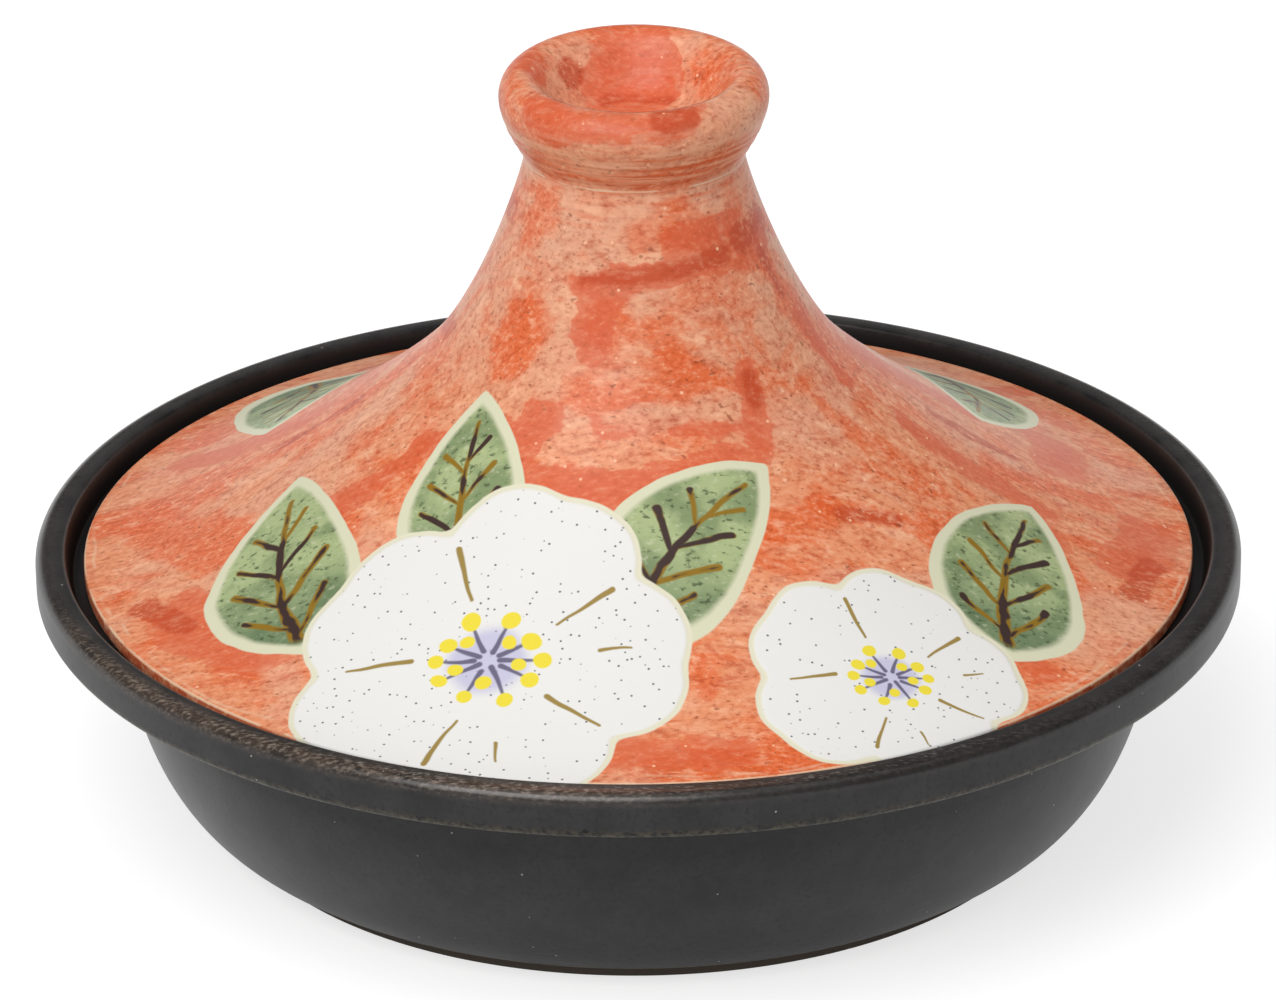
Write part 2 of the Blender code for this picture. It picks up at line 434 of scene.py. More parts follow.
edge_top = Vector((LID_RADIUS, SEAT + EDGE_HEIGHT))
edge_bottom = Vector((LID_RADIUS, SEAT))
crest = Vector((KNOB_RADIUS - KNOB_CREST_INSET, NECK.y + KNOB_HEIGHT))
widest = Vector((KNOB_RADIUS, NECK.y + KNOB_WIDEST))
cup_edge = Vector((CUP_FLOOR_RADIUS, crest.y - CUP_DEPTH))
cup_width = Vector((crest.x - cup_edge.x, 0))
lip_rise = Vector((0, crest.y - widest.y))
cup = curve(
    cup_edge,
    cup_edge + CUP_FLOOR_REACH * cup_width,
    crest - CUP_WALL_REACH * cup_width,
    crest,
    12,
)
lip = curve(
    crest,
    crest + Vector((LIP_REACH * KNOB_CREST_INSET, 0)),
    widest + LIP_REACH * lip_rise,
    widest,
    10,
)
flare = curve(
    widest,
    widest - Vector((0, FLARE_REACH * KNOB_WIDEST)),
    NECK + FLARE_REACH * KNOB_WIDEST * direction(KNOB_FLARE),
    NECK,
    40,
)
cone = curve(
    NECK,
    NECK - NECK_REACH * direction(NECK_SLOPE),
    WAIST + WAIST_REACH_UP * direction(WAIST_SLOPE),
    WAIST,
    36,
)
skirt = curve(
    WAIST,
    WAIST - WAIST_REACH_DOWN * direction(WAIST_SLOPE),
    edge_top + SKIRT_REACH * direction(EDGE_SLOPE),
    edge_top,
    72,
)
outside = cone + skirt[1:]
seat_end = edge_bottom - Vector((SEAT_WIDTH, 0))
ceiling = Vector((0, cup_edge.y - LID_WALL))
hollow = [
    point
    for point in inside_of(outside, LID_WALL)[::5]
    if SEAT < point.y < ceiling.y - HOLLOW_ROUND and point.x < seat_end.x - LID_WALL
]
hollow.reverse()
hollow_top = Vector((hollow[-1].x, ceiling.y))
above = (
    [Vector((0, cup_edge.y)), Vector((CUP_FLOOR_RADIUS / 2, cup_edge.y))]
    + cup
    + lip[1:]
    + flare[1:]
    + outside[1:-1]
)
corner = rounded(outside[-2], edge_top, edge_bottom, EDGE_ROUND, 4)
lid_outline = (
    above
    + corner
    + rounded(edge_top, edge_bottom, seat_end, EDGE_ROUND, 4)
    + [seat_end]
    + hollow
    + rounded(hollow[-1], hollow_top, ceiling, HOLLOW_ROUND, 4)
    + [ceiling]
)
# How far the outline has run at each of its points, in metres from the middle of the cup
outline_run = [0.0]
for before, point in zip(lid_outline, lid_outline[1:]):
    outline_run.append(outline_run[-1] + (point - before).length)
for i in range(1, len(lid_outline) - 1):
    along = (lid_outline[i + 1] - lid_outline[i - 1]).normalized()
    raised = sum(
        ridge_height * math.exp(-(((outline_run[i] - ridge_run) / RIDGE_REACH) ** 2))
        for ridge_run, ridge_height in RIDGES
    )
    lid_outline[i] = lid_outline[i] + raised * Vector((-along.y, along.x))
lid = thrown("painted_lid", lid_outline, LID_TURNS)

# What is painted on the lid. The mesh keeps, in mm, how far each of its points is from the outlines
# of what the brush laid there: broad strokes of wash, and on them a plain traditional pattern of
# five-petal blossoms and pointed leaves. The paints themselves come with the material below.
points = np.empty(len(lid.data.vertices) * 3)
lid.data.vertices.foreach_get("co", points)
points = points.reshape(-1, 3)
around = np.arctan2(points[:, 1], points[:, 0])
from_axis = np.hypot(points[:, 0], points[:, 1])
outline_xy = np.array([[point.x, point.y] for point in lid_outline])
gap = (from_axis[:, None] - outline_xy[:, 0]) ** 2
gap += (points[:, 2, None] - outline_xy[:, 1]) ** 2
run = 1000 * np.array(outline_run)[gap.argmin(axis=1)]
EDGE_RUN = 1000 * outline_run[len(above) + len(corner)]
CORNER_RUN = 1000 * outline_run[len(above) + len(corner) // 2]
# The front's bearing in degrees, and in mm: farther than any edge, how far out a stroke is kept,
# and how far from its own flat a motif is laid on the lid
FRONT = -90
FAR = 99.0
STROKE_BEYOND = 20
MOTIF_DEPTH = 30

# Each stroke: degrees round from the front, mm down the outside from the cup, length, width, tilt
SALMON_STROKES = [
    (-13, 31.2, 42, 9, 0),
    (180, 17, 23, 18, 0),
    (165, 6, 15, 9, 0),
    (20, 66.2, 50, 4.5, -5),
    (66, 65, 13, 8, -10),
    (-15, 76, 16, 7, 92),
    (-29, 101, 18, 9, 112),
    (-32, 108, 22, 13, 60),
    (-9, 111, 26, 8, -8),
    (15, 107, 24, 9, -6),
    (34, 96, 24, 7, 104),
    (12, 98, 38, 4, 4),
    (73, 92, 22, 5, 84),
    (36, 60, 20, 9, -6),
    (79, 133, 42, 7, 86),
    (70, 147, 26, 9, 42),
    (49, 167, 22, 7, 96),
    (82, 171, 34, 14, 6),
    (-57, 168, 40, 15, -4),
    (-34, 162, 20, 14, 10),
    (2, 174, 40, 9, 3),
    (-60, 122, 34, 8, -70),
    (104, 118, 40, 9, 80),
    (-106, 150, 44, 10, -82),
]
ORANGE_STROKES = [
    (100, 21, 26, 12, 0),
    (-100, 26, 16, 9, 0),
    (-72, 31.5, 36, 11, 0),
    (28, 57, 14, 9, 10),
    (60, 44, 26, 8, 0),
    (176, 29.5, 70, 6, 0),
    (96, 32, 24, 6, 0),
    (-8, 45.5, 40, 4.5, 0),
    (-52, 56, 16, 9, 88),
    (-46, 82, 20, 10, 95),
    (-6, 77, 12, 8, 10),
    (8, 76, 11, 8, -20),
    (15, 84, 14, 8, 45),
    (4, 90, 34, 6, -4),
    (26, 122, 34, 8, -8),
    (-25, 124, 30, 8, 12),
    (60, 110, 34, 6, 74),
    (62, 158, 26, 12, 20),
    (56, 58, 20, 10, 80),
    (72, 84, 36, 11, 76),
    (-84, 164, 50, 12, -20),
    (-95, 120, 40, 9, 86),
    (-70, 146, 46, 12, -35),
    (20, 178, 60, 8, 0),
    (-14, 150, 50, 10, 6),
    (88, 150, 36, 10, 70),
]
RED_STROKES = [
    (-131, 20, 7, 6.5, 0),
    (66, 72, 13, 4, 80),
    (20, 30.5, 11, 6, 0),
    (60, 62, 12, 6, -14),
    (172, 12, 18, 3, 0),
    (76, 62, 7, 5, 80),
    (8, 66, 34, 3.2, -6),
    (75, 174, 20, 6, 4),
    (36, 92, 9, 5, 100),
    (-66, 172, 22, 6, -14),
    (46, 126, 16, 4, 30),
    (-18, 116, 14, 4, -6),
    (92, 132, 26, 4, 84),
    (-96, 128, 24, 4, -86),
]
# Round the back the strokes fall at random, with these counts, and widths in mm
rng = np.random.default_rng(5)
for strokes, count, widths in (
    (SALMON_STROKES, 34, (6, 13)),
    (ORANGE_STROKES, 26, (6, 13)),
    (RED_STROKES, 9, (3, 6)),
):
    for _ in range(count):
        turn = rng.uniform(100, 260)
        tilt = turn - 90 + rng.normal(0, 25) if rng.random() < 0.6 else rng.normal(0, 18)
        stroke_run, length = rng.uniform(28, 180), rng.uniform(14, 50)
        strokes.append((turn, stroke_run, length, rng.uniform(*widths), tilt))


def beyond_strokes(strokes):
    """Distance in mm from each point of the lid to the nearest stroke, below 0 within one."""
    beyond = np.full(len(points), FAR)
    for turn, stroke_run, length, width, tilt in strokes:
        tilt = math.radians(tilt)
        sweep = (around - math.radians(FRONT + turn) + math.pi) % (2 * math.pi) - math.pi
        sideways, down = 1000 * from_axis * sweep, run - stroke_run
        along = sideways * math.cos(tilt) + down * math.sin(tilt)
        across = down * math.cos(tilt) - sideways * math.sin(tilt)
        past_end = np.maximum(np.abs(along) - (length - width) / 2, 0)
        beyond = np.minimum(beyond, np.hypot(past_end, across) - width / 2)
    return np.clip(beyond, -FAR, STROKE_BEYOND)


def laid_flat(turn, motif_radius, tilt):
    """The lid's points in mm, laid flat round a motif's middle, and which of them are near."""
    ring = min(range(1, len(outside)), key=lambda i: abs(outside[i].x - motif_radius))
    up_slope = (outside[ring - 1] - outside[ring]).normalized()
    angle, tilt = math.radians(FRONT + turn), math.radians(tilt)
    middle = (motif_radius * math.cos(angle), motif_radius * math.sin(angle), outside[ring].y)
    sideways = np.array([-math.sin(angle), math.cos(angle), 0])
    upwards = np.array([up_slope.x * math.cos(angle), up_slope.x * math.sin(angle), up_slope.y])
    offset = (points - middle) * 1000
    x, y = offset @ sideways, offset @ upwards
    near = (np.abs(offset @ np.cross(sideways, upwards)) < MOTIF_DEPTH) & (run < EDGE_RUN)
    along, across = math.cos(tilt), math.sin(tilt)
    return x * along + y * across, y * along - x * across, near


# Each blossom: degrees round from the front, radius on the lid, its own radius in mm, and its tilt.
# Each petal is two round lobes side by side, in shares of its reach, and all melt into one shape
# round the heart. Folds and stamens are drawn on it at one size, BLOOM_RADIUS.
PETALS = 5
HEART_RADIUS = 0.44
LOBE_TURN = 0.22
LOBE_MIDDLE = 0.65
LOBE_RADIUS = 0.325
LOBE_MELT = 1.1
BLOOM_RADIUS = 40
petal_edge = np.full(len(points), FAR)
bloom = np.full((len(points), 3), FAR)
for turn, motif_radius, size, tilt in (
    (-20, 0.087, 41, 12),
    (31, 0.096, 29, -20),
    (178, 0.088, 40, 40),
):
    x, y, near = laid_flat(turn, motif_radius, tilt)
    lobes = [np.hypot(x, y) - HEART_RADIUS * size]
    for k in range(PETALS):
        petal_angle = 2 * math.pi * k / PETALS + rng.normal(0, 0.05)
        reach = size * rng.uniform(0.95, 1.02)
        for side in (-1, 1):
            lobe_angle = petal_angle + side * LOBE_TURN
            lobe_x = reach * LOBE_MIDDLE * math.cos(lobe_angle)
            lobe_y = reach * LOBE_MIDDLE * math.sin(lobe_angle)
            lobes.append(np.hypot(x - lobe_x, y - lobe_y) - LOBE_RADIUS * reach)
    melted = sum(np.exp(np.clip(-lobe / LOBE_MELT, -60, 60)) for lobe in lobes)
    outline = -LOBE_MELT * np.log(melted)
    nearer = near & (outline < petal_edge)
    petal_edge = np.where(nearer, outline, petal_edge)
    grown = BLOOM_RADIUS / size
    bloom[nearer] = np.stack([x * grown, y * grown, 0 * x], axis=1)[nearer]

# Each leaf: degrees round, radius on the lid, half its length and width in mm, and its tilt. It
# bends to one side and is widest near its base. Veins are drawn on it at one size, LEAF_REACH.
LEAF_BEND = 0.005
LEAF_TAPER = 0.013
LEAF_REACH = 25
leaf_edge = np.full(len(points), FAR)
leaf = np.full((len(points), 3), FAR)
for turn, motif_radius, half_length, half_width, tilt in (
    (-60, 0.083, 26, 14, 150),
    (-38, 0.057, 21, 11, 115),
    (8, 0.062, 24, 13, 50),
    (60, 0.086, 25, 14, 25),
    (122, 0.084, 25, 14, 155),
    (150, 0.06, 22, 12, 120),
    (207, 0.06, 23, 12, 62),
    (234, 0.088, 25, 14, 30),
):
    x, y, near = laid_flat(turn, motif_radius, tilt)
    y = y + LEAF_BEND * x * x
    y_tapered = y * (1 + LEAF_TAPER * x)
    arc_radius = (half_length**2 + half_width**2) / (2 * half_width)
    outline = np.hypot(x, np.abs(y_tapered) + arc_radius - half_width) - arc_radius
    nearer = near & (outline < leaf_edge)
    leaf_edge = np.where(nearer, outline, leaf_edge)
    grown = LEAF_REACH / half_length
    leaf[nearer] = np.stack([x * grown, y * grown, 0 * x], axis=1)[nearer]

# Where each point came round on the wheel, in mm, as if the whole lid were a tube of this radius
TUBE_RADIUS = 20
on_wheel = np.stack([TUBE_RADIUS * np.cos(around), TUBE_RADIUS * np.sin(around), run], axis=1)
for name, kind, values in (
    ("down_the_side", "FLOAT", run),
    ("salmon_stroke", "FLOAT", beyond_strokes(SALMON_STROKES)),
    ("orange_stroke", "FLOAT", beyond_strokes(ORANGE_STROKES)),
    ("red_stroke", "FLOAT", beyond_strokes(RED_STROKES)),
    ("petal_edge", "FLOAT", petal_edge),
    ("leaf_edge", "FLOAT", leaf_edge),
    ("bloom", "FLOAT_VECTOR", bloom),
    ("leaf", "FLOAT_VECTOR", leaf),
    ("wheel", "FLOAT_VECTOR", on_wheel),
):
    layer = lid.data.attributes.new(name, kind, "POINT")
    layer.data.foreach_set("value" if kind == "FLOAT" else "vector", values.ravel())

# The knob leans towards the front, as soft clay does once it is off the wheel
rise = np.clip((points[:, 2] - NECK.y) / (crest.y - NECK.y), 0, 1)
points[:, 2] += math.tan(KNOB_LEAN) * points[:, 1] * rise * rise * (3 - 2 * rise)
lid.data.vertices.foreach_set("co", points.ravel())
lid.data.update()

# Underglaze wash on pale slip, under a clear glaze: tan where the wash is thin, with the grain of
# the brush and of the clay showing through, then torn clouds of orange, and flat salmon or brick
# red where it was laid again. Its finest grain would not show, and is drawn coarser, at 0.5 mm.
SLIP_TAN = linear("#eab091")
SLIP_PEACH = linear("#ef996d")
WASH_ORANGE = linear("#ea652c")
WASH_SALMON = linear("#e0633d")
WASH_RED = linear("#c84721")
GRAIN_PALE = linear("#ffc19b")
GRAIN_DARK = linear("#b4441e")
PINHOLE = linear("#85381a")
EDGE_CREAM = linear("#f4d4b2")
CLEAR_INSIDE = linear("#cfae8e")
GLINT_SPECK_CELLS_A_METRE = 300.0
# Where they lie, in mm down the outside from the cup
KNOB_TOP_RUN = 20.0
CREASE_RUN = 26.5
BEAD_RUN = 49.1
DRIP_RUN = CORNER_RUN + 1.4

painted, tree = new_material("underglaze_wash_and_white_enamel")
place = add_node(tree, "ShaderNodeTexCoord", {}, "Object")
wheel = add_node(tree, "ShaderNodeAttribute", {}, "Vector", attribute_name="wheel")
down_the_side = add_node(tree, "ShaderNodeAttribute", {}, "Fac", attribute_name="down_the_side")


def ragged(name, torn, amount):
    """Distance in mm from an outline that the mesh keeps, torn by some noise."""
    kept = add_node(tree, "ShaderNodeAttribute", {}, "Fac", attribute_name=name)
    centred = add_node(tree, "ShaderNodeMath", {0: torn, 1: 0.5}, operation="SUBTRACT")
    return add_node(
        tree, "ShaderNodeMath", {0: centred, 1: amount, 2: kept}, operation="MULTIPLY_ADD"
    )


broad = brushed(place, (26, 14, 14), 3, 0.55, 0.6)
clouds = brushed(place, (15, 8, 8), 5, 0.62, 1.0)
uneven = brushed(place, (9, 6, 6), 4, 0.6, 0.5)
dabs = brushed(place, (6, 3, 3), 4, 0.62, 1.4)
bristles = brushed(place, (3.2, 1.1, 1.1), 3, 0.6)
grain = brushed(place, (0.8, 0.5, 0.5), 3, 0.65)
rings = brushed(wheel, (13, 13, 1.1), 4, 0.62, 0.25)

# The skirt is washed over more than the cone, and the knob least
washed_over = add_node(
    tree,
    "ShaderNodeMapRange",
    {"Value": down_the_side, "From Min": 60, "From Max": 140, "To Min": 0.55, "To Max": 0.75},
)
colour = coat(SLIP_PEACH, SLIP_TAN, down_the_side, 120, 60, 0.8)
colour = coat(colour, SLIP_PEACH, down_the_side, 54, 46, 0.45)
colour = coat(colour, WASH_ORANGE, clouds, 0.45, 0.62, washed_over)
colour = coat(colour, SLIP_TAN, broad, 0.5, 0.64, 0.6)
colour = coat(colour, WASH_RED, dabs, 0.54, 0.7, 0.48)
colour = coat(colour, GRAIN_PALE, dabs, 0.46, 0.3, 0.7)
colour = coat(colour, WASH_ORANGE, ragged("orange_stroke", uneven, 16.0), 2.0, -2.0, 0.7)
laid_again = add_node(
    tree,
    "ShaderNodeMapRange",
    {"Value": down_the_side, "From Min": 110, "From Max": 150, "To Min": 0.68, "To Max": 0.5},
)
colour = coat(
    colour, WASH_SALMON, ragged("salmon_stroke", uneven, 12.0), 0.35, -0.35, laid_again
)
# The knob is handled most, so its wash is worn back to the slip in places, and these paler
# patches on its top also paint the pale highlight on its lip
on_top = add_node(
    tree, "ShaderNodeMath", {0: down_the_side, 1: KNOB_TOP_RUN, 2: 16.0}, operation="COMPARE"
)
colour = coat(colour, SLIP_TAN, dabs, 0.47, 0.64, on_top, 0.45)
colour = coat(colour, WASH_SALMON, ragged("salmon_stroke", clouds, 20.0), 0.0, -3.0, 0.5)
colour = coat(colour, WASH_RED, ragged("red_stroke", uneven, 6.0), 0.6, -0.8, 0.7)
thin = add_node(
    tree,
    "ShaderNodeMapRange",
    {
        "Value": ragged("salmon_stroke", uneven, 12.0),
        "From Min": -0.3,
        "From Max": 0.3,
        "To Min": 0.25,
        "To Max": 0.55,
    },
)
colour = coat(colour, GRAIN_PALE, bristles, 0.52, 0.74, thin)
colour = coat(colour, GRAIN_DARK, bristles, 0.46, 0.26, thin, 0.75)
colour = coat(colour, GRAIN_PALE, grain, 0.5, 0.74, thin)
colour = coat(colour, GRAIN_DARK, grain, 0.5, 0.28, thin)
on_knob = add_node(
    tree,
    "ShaderNodeMapRange",
    {"Value": down_the_side, "From Min": 60, "From Max": 46, "To Max": 0.9},
)
on_flare = add_node(
    tree, "ShaderNodeMapRange", {"Value": down_the_side, "From Min": 35, "From Max": 39}
)
colour = coat(colour, GRAIN_PALE, rings, 0.48, 0.6, on_knob, on_flare, 0.75)
colour = coat(colour, WASH_ORANGE, rings, 0.48, 0.38, on_knob, on_flare, 0.75)
colour = coat(colour, WASH_RED, rings, 0.4, 0.32, on_knob, on_flare, 0.35)
colour = coat(colour, PINHOLE, brushed(place, (1.0, 0.6, 0.6), 1), 0.67, 0.76, thin)
# Pale specks are painted glints: highlights on tiny glossy bumps in the glaze
cells = add_node(tree, "ShaderNodeTexVoronoi", {"Vector": place, "Scale": GLINT_SPECK_CELLS_A_METRE}).node
chosen = add_node(tree, "ShaderNodeSeparateColor", {0: cells.outputs["Color"]})
chosen = add_node(tree, "ShaderNodeMath", {0: chosen, 1: 0.6}, operation="GREATER_THAN")
colour = coat(colour, GRAIN_PALE, cells.outputs["Distance"], 0.14, 0.07, chosen)
# The bead at the neck and the corner of the lid's edge are pale, where the wash ran off them
bead = add_node(
    tree, "ShaderNodeMath", {0: down_the_side, 1: BEAD_RUN, 2: 0.25}, operation="COMPARE"
)
corner_line = add_node(
    tree, "ShaderNodeMath", {0: down_the_side, 1: CORNER_RUN, 2: 0.3}, operation="COMPARE"
)
ran_off = add_node(tree, "ShaderNodeMath", {0: bead, 1: corner_line}, operation="ADD")
colour = coat(colour, EDGE_CREAM, uneven, 0.36, 0.5, ran_off, 0.75)
# A thin pale line wanders a few mm above that corner, where the glaze gathered
drip = add_node(
    tree, "ShaderNodeMath", {0: broad, 1: 7.0, 2: down_the_side}, operation="MULTIPLY_ADD"
)
drip = add_node(tree, "ShaderNodeMath", {0: drip, 1: DRIP_RUN, 2: 0.35}, operation="COMPARE")
colour = coat(colour, EDGE_CREAM, uneven, 0.4, 0.58, drip, 0.35)
# A thin dark crease runs along the inside of the lip at the front
crease = add_node(
    tree, "ShaderNodeMath", {0: down_the_side, 1: CREASE_RUN, 2: 0.45}, operation="COMPARE"
)
split = add_node(tree, "ShaderNodeSeparateXYZ", {"Vector": place}).node
colour = coat(colour, PINHOLE, split.outputs["Y"], -0.008, -0.016, crease, 0.7)
on_edge = add_node(
    tree,
    "ShaderNodeMapRange",
    {"Value": down_the_side, "From Min": CORNER_RUN, "From Max": CORNER_RUN + 0.4},
)
colour = coat(colour, WASH_RED, bristles, 0.42, 0.56, on_edge, 0.7)

# Leaves: green underglaze, mottled and freckled, that pools darker at the base, in a margin of
# celadon where a resist kept the wash away. Veins are drawn in iron brown, which bleeds to ochre.
# Each vein: where its stroke starts and ends on the leaf in mm, and half its width at both ends.
CELADON_MARGIN = linear("#e1e0c1")
LEAF_PALE = linear("#b1bf8b")
LEAF_GREEN = linear("#8a9b6e")
LEAF_DEEP = linear("#5d7759")
LEAF_FRECKLE = linear("#414f34")
VEIN_BROWN = linear("#453430")
VEIN_OCHRE = linear("#967421")
SHAKES_A_METRE = 110.0
VEINS = (
    ((-24, 0), (-12, 0.8), 1.5, 0.8),
    ((-12, 0.8), (4, 0.2), 0.8, 0.45),
    ((4, 0.2), (20, -0.6), 0.45, 0.3),
    ((-19, 0.8), (-13, 9.0), 0.3, 0.55),
    ((-12, 1.0), (-4, 10.2), 0.3, 0.6),
    ((-3, 0.6), (4, 9.0), 0.25, 0.55),
    ((6, 0.4), (12, 6.6), 0.2, 0.45),
    ((-21, -0.6), (-9, -8.4), 0.35, 0.55),
    ((-11, 0), (0, -9.4), 0.3, 0.6),
    ((-1, -0.2), (8, -7.2), 0.25, 0.5),
    ((9, -0.4), (15, -4.4), 0.2, 0.4),
)


def pointed_stroke(where, start, end, pressed, lifted):
    """Distance in mm past a pointed brush's stroke, from half its width at both ends."""
    along = Vector((end[0] - start[0], end[1] - start[1], 0))
    offset = add_node(
        tree, "ShaderNodeVectorMath", {0: where, 1: (*start, 0)}, operation="SUBTRACT"
    )
    share = add_node(
        tree,
        "ShaderNodeVectorMath",
        {0: offset, 1: tuple(along / along.length_squared)},
        "Value",
        operation="DOT_PRODUCT",
    )
    share = add_node(
        tree, "ShaderNodeMath", {0: share, 1: 0.0}, operation="ADD", use_clamp=True
    )
    foot = add_node(
        tree, "ShaderNodeVectorMath", {0: tuple(along), "Scale": share}, operation="SCALE"
    )
    away = add_node(
        tree, "ShaderNodeVectorMath", {0: offset, 1: foot}, "Value", operation="DISTANCE"
    )
    half_width = add_node(
        tree, "ShaderNodeMapRange", {"Value": share, "To Min": pressed, "To Max": lifted}
    )
    return add_node(tree, "ShaderNodeMath", {0: away, 1: half_width}, operation="SUBTRACT")


def nearest(distances):
    """The least of several distances."""
    least = distances[0]
    for distance in distances[1:]:
        least = add_node(tree, "ShaderNodeMath", {0: least, 1: distance}, operation="MINIMUM")
    return least


def by_hand(name, shake):
    """A motif's own coordinates in mm, shaken as by a hand that draws without a ruler."""
    kept = add_node(tree, "ShaderNodeAttribute", {}, "Vector", attribute_name=name)
    unsteady = add_node(
        tree,
        "ShaderNodeTexNoise",
        {"Vector": place, "Scale": SHAKES_A_METRE, "Detail": 1.0},
        "Color",
    )
    centred = add_node(
        tree, "ShaderNodeVectorMath", {0: unsteady, 1: (0.5, 0.5, 0.5)}, operation="SUBTRACT"
    )
    return add_node(
        tree,
        "ShaderNodeVectorMath",
        {0: centred, 1: (shake, shake, 0), 2: kept},
        operation="MULTIPLY_ADD",
    )


edge_noise = brushed(place, (7, 7, 7), 2)
leaf_away = ragged("leaf_edge", edge_noise, 1.8)
colour = coat(colour, CELADON_MARGIN, leaf_away, 2.5, 2.1)
leaf_place = by_hand("leaf", 2.4)
leaf_along = add_node(tree, "ShaderNodeSeparateXYZ", {"Vector": leaf_place}, "X")
green = coat(LEAF_PALE, LEAF_GREEN, brushed(place, (5, 5, 5), 3), 0.4, 0.62)
green = coat(green, LEAF_DEEP, leaf_along, 2.0, -20.0, 0.7)
freckles = brushed(place, (0.9, 0.6, 0.6), 3, 0.6)
green = coat(green, LEAF_FRECKLE, freckles, 0.56, 0.68, 0.75)
green = coat(green, CELADON_MARGIN, freckles, 0.42, 0.3, 0.35)
colour = coat(colour, green, leaf_away, 0.5, -1.1)
on_leaf = add_node(
    tree,
    "ShaderNodeMapRange",
    {"Value": leaf_away, "From Min": -0.5, "From Max": -2.0},
)
vein = nearest([pointed_stroke(leaf_place, *stroke) for stroke in VEINS])
blots = brushed(place, (4, 4, 4), 2)
colour = coat(colour, VEIN_OCHRE, vein, 0.55, 0.0, on_leaf)
blotted = add_node(
    tree,
    "ShaderNodeMapRange",
    {"Value": blots, "From Min": 0.4, "From Max": 0.6, "To Min": -0.75, "To Max": 0.3},
)
inked = add_node(tree, "ShaderNodeMath", {0: vein, 1: blotted}, operation="SUBTRACT")
colour = coat(colour, VEIN_BROWN, inked, 0.3, -0.2, on_leaf)

# Blossoms: white enamel laid on thick, with a fine cream edge and small grey pits from the firing.
# Folds are drawn in ochre, stamens as violet strokes on a lilac bloom, which end in yellow dots.
ENAMEL_WHITE = linear("#f1f0ec")
ENAMEL_EDGE = linear("#eae6cc")
ENAMEL_PIT = linear("#747478")
FOLD_OCHRE = linear("#a48b4b")
STAMEN_LILAC = linear("#c2bfe2")
STAMEN_VIOLET = linear("#534c6a")
STAMEN_YELLOW = linear("#f6e344")
PIT_CELLS_A_METRE = 560.0
STAMENS = 10
FOLDS = (
    ((12.5, 8.2), (22.5, 16.6), 0.2, 0.55),
    ((-4.8, 14.5), (-8.2, 27.0), 0.25, 0.55),
    ((-15.4, 0.8), (-28.0, -0.6), 0.55, 0.2),
    ((-4.4, -14.8), (-9.2, -26.5), 0.2, 0.5),
    ((12.4, -8.4), (22.8, -15.4), 0.55, 0.2),
    ((21.5, 2.4), (27.0, 3.4), 0.35, 0.15),
    ((4.0, -20.5), (5.0, -26.0), 0.3, 0.12),
)
petal_away = ragged("petal_edge", edge_noise, 1.6)
colour = coat(colour, ENAMEL_EDGE, petal_away, 1.1, 0.7)
enamel = add_node(
    tree,
    "ShaderNodeMapRange",
    {"Value": petal_away, "From Min": 0.3, "From Max": -0.7},
    interpolation_type="SMOOTHSTEP",
)
colour = coat(colour, ENAMEL_WHITE, enamel, 0.0, 1.0)
cells = add_node(tree, "ShaderNodeTexVoronoi", {"Vector": place, "Scale": PIT_CELLS_A_METRE}).node
chosen = add_node(tree, "ShaderNodeSeparateColor", {0: cells.outputs["Color"]})
chosen = add_node(tree, "ShaderNodeMath", {0: chosen, 1: 0.75}, operation="LESS_THAN")
colour = coat(colour, ENAMEL_PIT, cells.outputs["Distance"], 0.19, 0.09, chosen, enamel)
bloom_place = by_hand("bloom", 2.0)
colour = coat(
    colour,
    FOLD_OCHRE,
    nearest([pointed_stroke(bloom_place, *stroke) for stroke in FOLDS]),
    0.3,
    -0.1,
    enamel,
)
from_middle = add_node(
    tree, "ShaderNodeVectorMath", {0: bloom_place}, "Value", operation="LENGTH"
)
colour = coat(colour, STAMEN_LILAC, from_middle, 9.5, 6.0, enamel, 0.75)
filaments = []
dots = []
for k in range(STAMENS):
    angle = 2 * math.pi * (k + 0.25 * math.sin(5 * k)) / STAMENS
    inner, outer = 2.4 + 0.6 * math.sin(3 * k), 8.4 + 0.7 * math.cos(4 * k)
    heading = (math.cos(angle), math.sin(angle))
    filaments.append(
        pointed_stroke(
            bloom_place,
            (inner * heading[0], inner * heading[1]),
            (outer * heading[0], outer * heading[1]),
            0.5,
            0.2,
        )
    )
    dots.append((outer + 1.6, angle, 1.75 + 0.2 * math.sin(7 * k)))
    if k % 2:
        dots.append((outer - 2.2, angle + 0.32, 1.5))
colour = coat(colour, STAMEN_VIOLET, nearest(filaments), 0.35, -0.1, enamel, 0.85)
pollen = []
for reach, angle, dot_radius in dots:
    centre = (reach * math.cos(angle), reach * math.sin(angle), 0)
    away = add_node(
        tree, "ShaderNodeVectorMath", {0: bloom_place, 1: centre}, "Value", operation="DISTANCE"
    )
    pollen.append(
        add_node(tree, "ShaderNodeMath", {0: away, 1: dot_radius}, operation="SUBTRACT")
    )
pollen = nearest(pollen)
colour = coat(colour, STAMEN_YELLOW, pollen, 0.25, -0.15, enamel)
colour = coat(colour, CLEAR_INSIDE, down_the_side, EDGE_RUN, EDGE_RUN + 0.5)

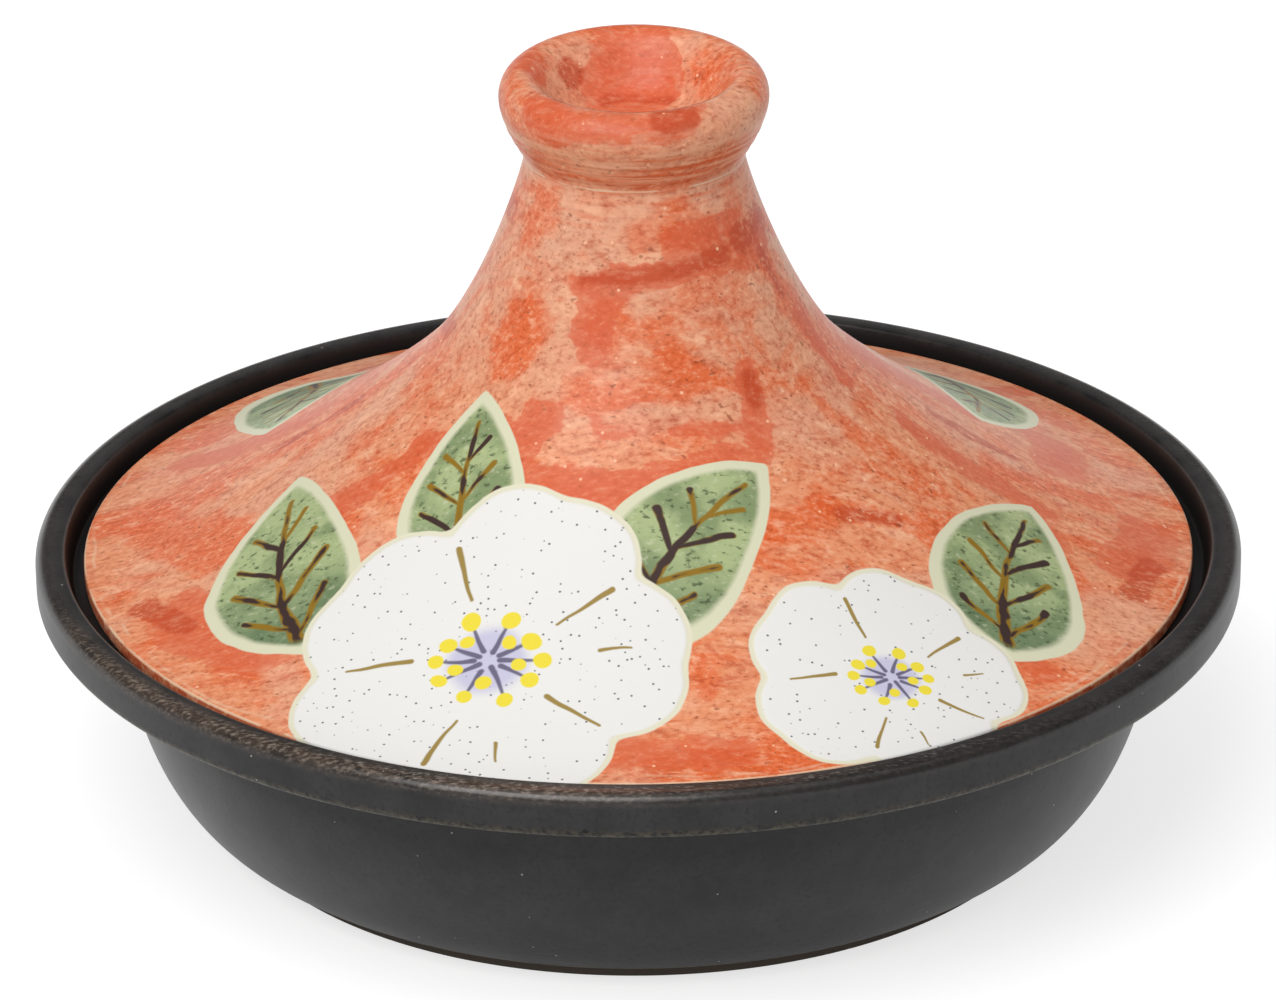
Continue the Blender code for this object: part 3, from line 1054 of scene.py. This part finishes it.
# Clear glaze over the paints, and enamel that stands proud of them
thickness = add_node(
    tree, "ShaderNodeMath", {0: uneven, 1: 0.35, 2: enamel}, operation="MULTIPLY_ADD"
)
relief = add_node(
    tree, "ShaderNodeBump", {"Height": thickness, "Strength": 0.5, "Distance": 0.0003}
)
relief = add_node(
    tree,
    "ShaderNodeBump",
    {"Height": bristles, "Strength": 0.2, "Distance": 0.0003, "Normal": relief},
)
surface = add_node(
    tree,
    "ShaderNodeBsdfPrincipled",
    {
        "Base Color": colour,
        "Roughness": 0.42,
        "IOR": 1.5,
        "Specular IOR Level": 0.2,
        "Coat Weight": 0.14,
        "Coat Roughness": 0.14,
        "Normal": relief,
    },
)
add_node(tree, "ShaderNodeOutputMaterial", {"Surface": surface})
lid.data.materials.append(painted)
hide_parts("lid")
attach(lid, "lid")

# The studio: a floor of white paper, an even sky and one soft lamp, above and left of the camera.
# The camera sees floor and sky as plain white, and the glaze mirrors a white floor and a dim room
# with a bright horizon and ceiling. All else is lit by the sky evenly, at SKY_LIGHT.
PAPER_GREY = linear("#b8b8b8")
PLAIN_WHITE = linear("#ffffff")
SKY_LIGHT = 0.476
ROOM_LEVEL = 0.06
FLOOR_LIFT = 0.7


def seen_rays(tree):
    """1 for rays from the camera and for those that glaze or glass sends on, else 0."""
    rays = add_node(tree, "ShaderNodeLightPath", {}).node
    seen = rays.outputs["Is Camera Ray"]
    for kind in ("Is Glossy Ray", "Is Transmission Ray"):
        seen = add_node(
            tree, "ShaderNodeMath", {0: seen, 1: rays.outputs[kind]}, operation="MAXIMUM"
        )
    return seen


bpy.ops.object.select_all(action="DESELECT")
bpy.ops.mesh.primitive_circle_add(vertices=96, radius=2.5, fill_type="NGON", location=(0, 0, 0))
floor = bpy.context.object
floor.name = floor.data.name = "studio_floor"
paper, tree = new_material("white_paper")
seen = seen_rays(tree)
matt = add_node(tree, "ShaderNodeBsdfDiffuse", {"Color": PAPER_GREY})
lift = add_node(tree, "ShaderNodeEmission", {"Color": PLAIN_WHITE, "Strength": FLOOR_LIFT})
lifted = add_node(tree, "ShaderNodeAddShader", {0: matt, 1: lift})
add_node(
    tree,
    "ShaderNodeOutputMaterial",
    {"Surface": add_node(tree, "ShaderNodeMixShader", {0: seen, 1: matt, 2: lifted})},
)
floor.data.materials.append(paper)

world = bpy.data.worlds.new("white_sky")
world.use_nodes = True
tree = world.node_tree
tree.nodes.clear()
seen = seen_rays(tree)
ray = add_node(tree, "ShaderNodeTexCoord", {}, "Generated")
ray_height = add_node(tree, "ShaderNodeSeparateXYZ", {"Vector": ray}, "Z")
room = add_node(
    tree,
    "ShaderNodeMapRange",
    {"Value": ray_height, "From Min": 0.08, "From Max": 0.36, "To Min": 1.0, "To Max": ROOM_LEVEL},
    interpolation_type="SMOOTHSTEP",
)
overhead = add_node(
    tree,
    "ShaderNodeMapRange",
    {"Value": ray_height, "From Min": 0.84, "From Max": 0.95, "To Max": 0.4},
    interpolation_type="SMOOTHSTEP",
)
room = add_node(tree, "ShaderNodeMath", {0: room, 1: overhead}, operation="ADD")
from_camera = add_node(tree, "ShaderNodeLightPath", {}, "Is Camera Ray")
room = add_node(tree, "ShaderNodeMath", {0: room, 1: from_camera}, operation="MAXIMUM")
strength = add_node(
    tree, "ShaderNodeMix", {0: seen, 2: SKY_LIGHT, 3: room}, data_type="FLOAT"
)
sky = add_node(tree, "ShaderNodeBackground", {"Color": PLAIN_WHITE, "Strength": strength})
add_node(tree, "ShaderNodeOutputWorld", {"Surface": sky})
bpy.context.scene.world = world

key = bpy.data.lights.new("key", "AREA")
key.shape = "RECTANGLE"
key.size, key.size_y = 1.8, 1.8
key.energy = 43.2
key_lamp = bpy.data.objects.new("key", key)
key_lamp.location = (-0.7, -1.44, 2.17)
aim = Vector((0, 0, 0.07)) - key_lamp.location
key_lamp.rotation_euler = aim.to_track_quat("-Z", "Y").to_euler()
bpy.context.scene.collection.objects.link(key_lamp)

# The camera: a long lens that looks down by 24.25 degrees from 1.4 m, rolled by half a degree
LOOK_DOWN = math.radians(24.25)
ROLL = math.radians(-0.55)
camera = bpy.data.objects.new("camera", bpy.data.cameras.new("camera"))
bpy.context.scene.collection.objects.link(camera)
camera.data.sensor_width = 36
camera.data.lens = 190.0
camera.data.shift_y = 0.02225
camera.location = (0, -1.2763, 0.6336)
camera.rotation_euler = (
    Quaternion((1, 0, 0), math.pi / 2 - LOOK_DOWN) @ Quaternion((0, 0, 1), ROLL)
).to_euler()
camera.data.clip_start, camera.data.clip_end = 0.1, 20
bpy.context.scene.camera = camera
bpy.context.scene.view_settings.view_transform = "Standard"
